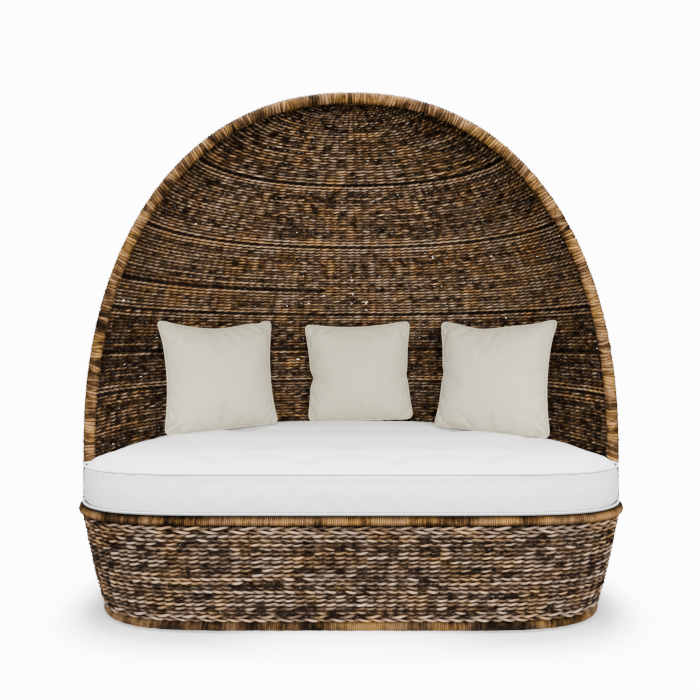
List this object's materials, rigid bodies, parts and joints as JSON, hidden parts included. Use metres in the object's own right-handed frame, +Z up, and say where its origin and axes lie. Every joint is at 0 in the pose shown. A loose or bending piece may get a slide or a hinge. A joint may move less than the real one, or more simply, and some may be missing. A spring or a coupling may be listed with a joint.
{
  "type": "canopy daybed",
  "caption": "Wide woven daybed with an egg-shaped half-dome canopy, a flared woven base, a thick tufted seat cushion and throw pillows, for lounging.",
  "frame": {"origin": "on the floor, under the centre of the overall box", "axes": "+Z up, +X along the width, the open front faces -Y and the back of the canopy +Y"},
  "size_m": [1.8842, 1.073, 1.805],
  "materials": {
    "cane_wrap": "satin, natural cane wrapping, golden to dark brown",
    "base_weave": "matte woven abaca, greyish tan",
    "dome_weave": "matte woven abaca, dark brown",
    "rattan_pole": "satin rattan pole",
    "deck_timber": "matte sanded timber",
    "glide_nylon": "matte",
    "dowel_steel": "brushed",
    "foam": "open-cell foam",
    "seat_canvas": "matte white canvas",
    "pillow_linen": "matte cream linen"
  },
  "bodies": {
    "frame": {"bottom_hoop_pole": "rattan_pole", "bottom_hoop_wrap": "cane_wrap", "rim_hoop_pole": "rattan_pole", "rim_hoop_wrap": "cane_wrap", "arch_pole": "rattan_pole", "arch_wrap": "cane_wrap", "arch_dowel_left": "dowel_steel", "arch_dowel_right": "dowel_steel", "lower_border": "cane_wrap", "base_wall": "base_weave", "upper_border": "cane_wrap", "dome_band_low": "dome_weave", "dome_band_waist": "dome_weave", "dome_band_middle": "dome_weave", "dome_band_high": "dome_weave", "dome_cap": "dome_weave", "dome_hoop_1": "rattan_pole", "dome_hoop_2": "rattan_pole", "dome_hoop_3": "rattan_pole", "dome_hoop_4": "rattan_pole", "deck_slat_1": "deck_timber", "deck_slat_2": "deck_timber", "deck_slat_3": "deck_timber", "deck_slat_4": "deck_timber", "deck_slat_5": "deck_timber", "deck_slat_6": "deck_timber", "beam_left": "deck_timber", "post_front_left": "rattan_pole", "glide_front_left": "glide_nylon", "post_back_left": "rattan_pole", "glide_back_left": "glide_nylon", "beam_centre": "deck_timber", "post_front_centre": "rattan_pole", "glide_front_centre": "glide_nylon", "post_back_centre": "rattan_pole", "glide_back_centre": "glide_nylon", "beam_right": "deck_timber", "post_front_right": "rattan_pole", "glide_front_right": "glide_nylon", "post_back_right": "rattan_pole", "glide_back_right": "glide_nylon", "post_arch_left": "rattan_pole", "glide_arch_left": "glide_nylon", "post_arch_right": "rattan_pole", "glide_arch_right": "glide_nylon"},
    "seat": {"seat_foam_core": "foam", "seat_cover": "seat_canvas", "seat_piping_top": "seat_canvas", "seat_piping_bottom": "seat_canvas"},
    "pillow_left": {"pillow_left_insert": "foam", "pillow_left_cover": "pillow_linen", "pillow_left_piping": "pillow_linen"},
    "pillow_middle": {"pillow_middle_insert": "foam", "pillow_middle_cover": "pillow_linen", "pillow_middle_piping": "pillow_linen"},
    "pillow_right": {"pillow_right_insert": "foam", "pillow_right_cover": "pillow_linen", "pillow_right_piping": "pillow_linen"}
  },
  "joints": [
    {"name": "seat_lift_out", "type": "slide", "parent": "frame", "child": "seat", "axis": [0, -0.9962, 0.0872], "range_m": [0, 1.15]},
    {"name": "pillow_left_lift_off", "type": "slide", "parent": "seat", "child": "pillow_left", "axis": [0.059, -0.9831, 0.173], "range_m": [0, 1]},
    {"name": "pillow_middle_lift_off", "type": "slide", "parent": "seat", "child": "pillow_middle", "axis": [0, -0.9849, 0.1733], "range_m": [0, 1]},
    {"name": "pillow_right_lift_off", "type": "slide", "parent": "seat", "child": "pillow_right", "axis": [-0.059, -0.9831, 0.173], "range_m": [0, 1]}
  ]
}
